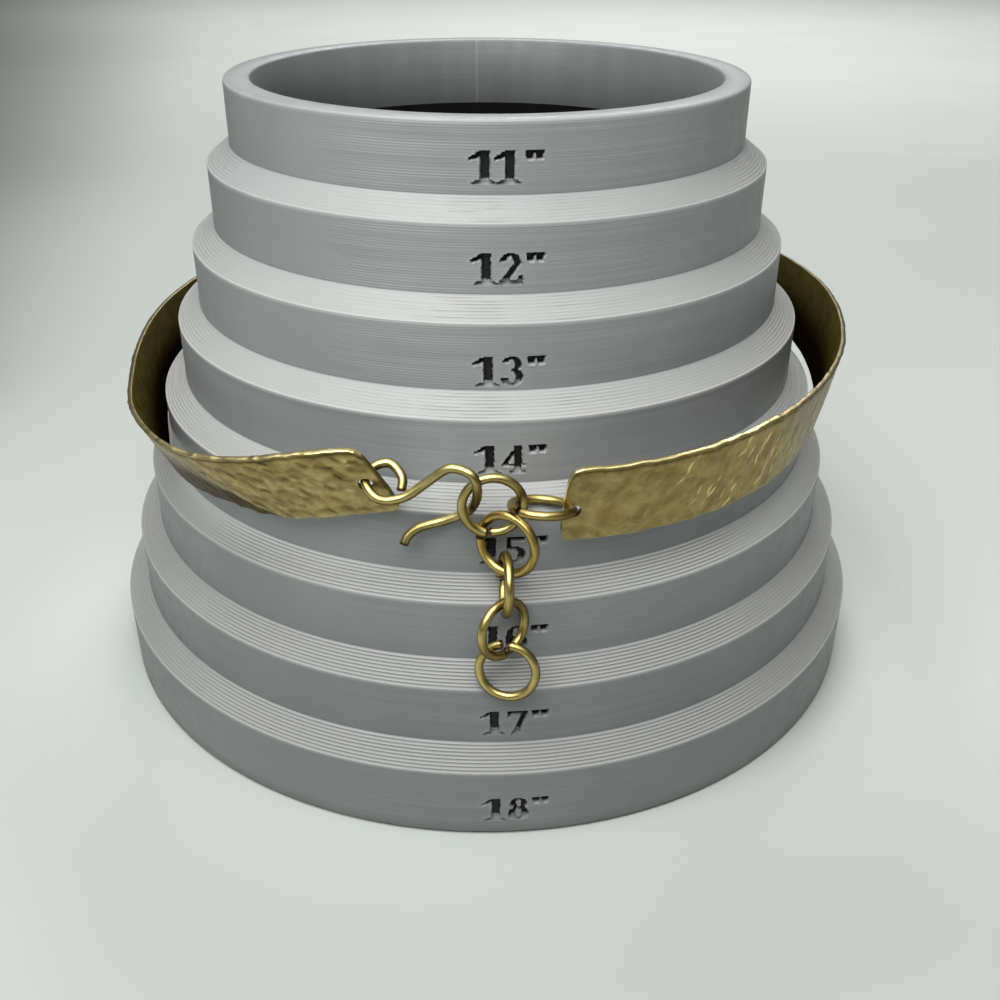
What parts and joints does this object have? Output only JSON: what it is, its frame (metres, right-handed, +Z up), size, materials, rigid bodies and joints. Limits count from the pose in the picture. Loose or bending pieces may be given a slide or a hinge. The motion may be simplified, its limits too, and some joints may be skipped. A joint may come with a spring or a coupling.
{
  "type": "hammered band choker on a stepped sizing stand",
  "caption": "Open hammered metal neck band with a wire hook and a short hanging chain of open wire rings, set on a round hollow stand whose steps are marked with neck sizes.",
  "frame": {"origin": "centre of the stand's foot, on its axis, at the surface that it stands on", "axes": "+Z up along the stand's axis, -Y towards the clasp and the hanging chain, +X towards the band's right end"},
  "size_m": [0.1455, 0.1456, 0.1052],
  "materials": {
    "printed_plastic": "matte grey print with fine layer lines",
    "strip_brass": "hammered and darkened, bright on the ridges and edges",
    "wire_brass": "drawn wire, slightly tarnished, copper tint at the cut ends"
  },
  "bodies": {
    "root": {"stand": "printed_plastic", "strip": "strip_brass", "hook": "wire_brass", "ring_1": "wire_brass", "ring_2": "wire_brass", "ring_3": "wire_brass", "ring_4": "wire_brass", "ring_5": "wire_brass", "ring_6": "wire_brass"}
  },
  "joints": []
}
